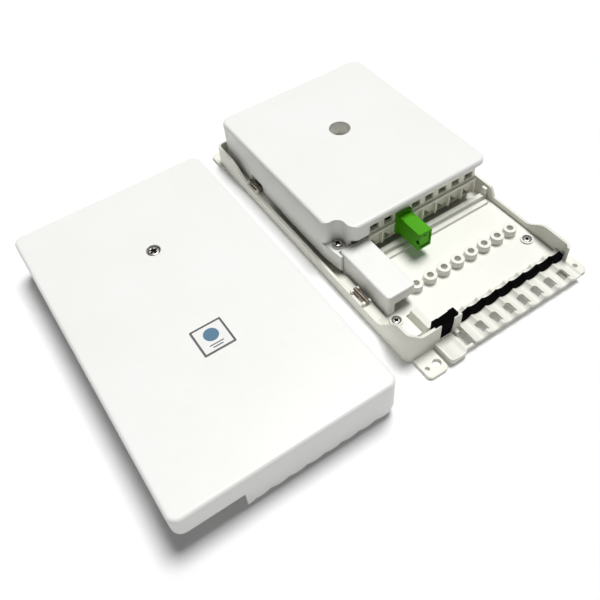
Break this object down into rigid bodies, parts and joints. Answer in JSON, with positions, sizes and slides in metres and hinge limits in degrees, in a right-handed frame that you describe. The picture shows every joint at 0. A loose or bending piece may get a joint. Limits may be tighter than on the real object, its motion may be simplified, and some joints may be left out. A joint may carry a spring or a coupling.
{
  "type": "fibre termination box",
  "caption": "Flat wall box for fibre drops, opened: base with cable ports, rubber seals, adapter panel and inner cover, its outer cover off beside it.",
  "frame": {"origin": "middle of the base's back face", "axes": "+X to the right, +Y away from the cable ports, +Z from the wall towards the covers"},
  "size_m": [0.276, 0.2394, 0.0358],
  "materials": {
    "white_abs": "satin",
    "cover_abs": "satin",
    "black_rubber": "matte",
    "green_plastic": "semi-gloss",
    "shutter_plastic": "semi-gloss",
    "cage_plastic": "matte",
    "ceramic": "polished",
    "steel_screw": "bright",
    "pin_steel": "bright",
    "clip_steel": "dark",
    "insert_brass": "plain",
    "label_paper": "printed film"
  },
  "bodies": {
    "base": {"base_shell": "white_abs", "cable_deck": "white_abs", "deck_screws": "steel_screw", "hinge_pins": "pin_steel", "drop_seal_strip": "black_rubber", "feeder_seal": "black_rubber", "fibre_tray": "white_abs", "tray_screws": "steel_screw", "adapter_panel": "white_abs", "adapter_front_shell": "green_plastic", "adapter_rear_shell": "green_plastic", "adapter_sleeve_holder": "cage_plastic", "alignment_sleeve": "ceramic", "adapter_spring_clip": "clip_steel", "shutter_spring": "steel_screw", "splice_holder": "white_abs", "cover_screw_insert": "insert_brass", "corner_screw_insert": "insert_brass"},
    "shutter": {"adapter_shutter": "shutter_plastic"},
    "inner_cover": {"inner_cover": "cover_abs"},
    "inner_cover_screw": {"inner_cover_screw": "steel_screw"},
    "entry_cover": {"entry_cover": "cover_abs"},
    "outer_cover": {"outer_cover": "cover_abs", "cover_label": "label_paper"},
    "cover_screw": {"cover_screw": "steel_screw", "cover_screw_washer": "black_rubber"}
  },
  "joints": [
    {"name": "outer_cover_lift", "type": "slide", "parent": "base", "child": "outer_cover", "axis": [0, 0, 1], "range_m": [0, 0.06]},
    {"name": "cover_screw_turn", "type": "hinge", "parent": "outer_cover", "child": "cover_screw", "pos_m": [-0.144, 0.0276, 0.028], "axis": [0, 0, 1], "continuous": true},
    {"name": "inner_cover_lift", "type": "slide", "parent": "base", "child": "inner_cover", "axis": [0, 0, 1], "range_m": [0, 0.045]},
    {"name": "inner_cover_screw_turn", "type": "hinge", "parent": "inner_cover", "child": "inner_cover_screw", "pos_m": [-0.0498, -0.0246, 0.0184], "axis": [0, 0, 1], "continuous": true},
    {"name": "entry_cover_draw", "type": "slide", "parent": "base", "child": "entry_cover", "axis": [0, -0.7071, 0.7071], "range_m": [0, 0.03]},
    {"name": "shutter_swing", "type": "hinge", "parent": "base", "child": "shutter", "pos_m": [-0.0055, -0.0509, 0.0219], "axis": [1, 0, 0], "range_deg": [0, 85], "stiffness_Nm_per_rad": 0.001}
  ]
}
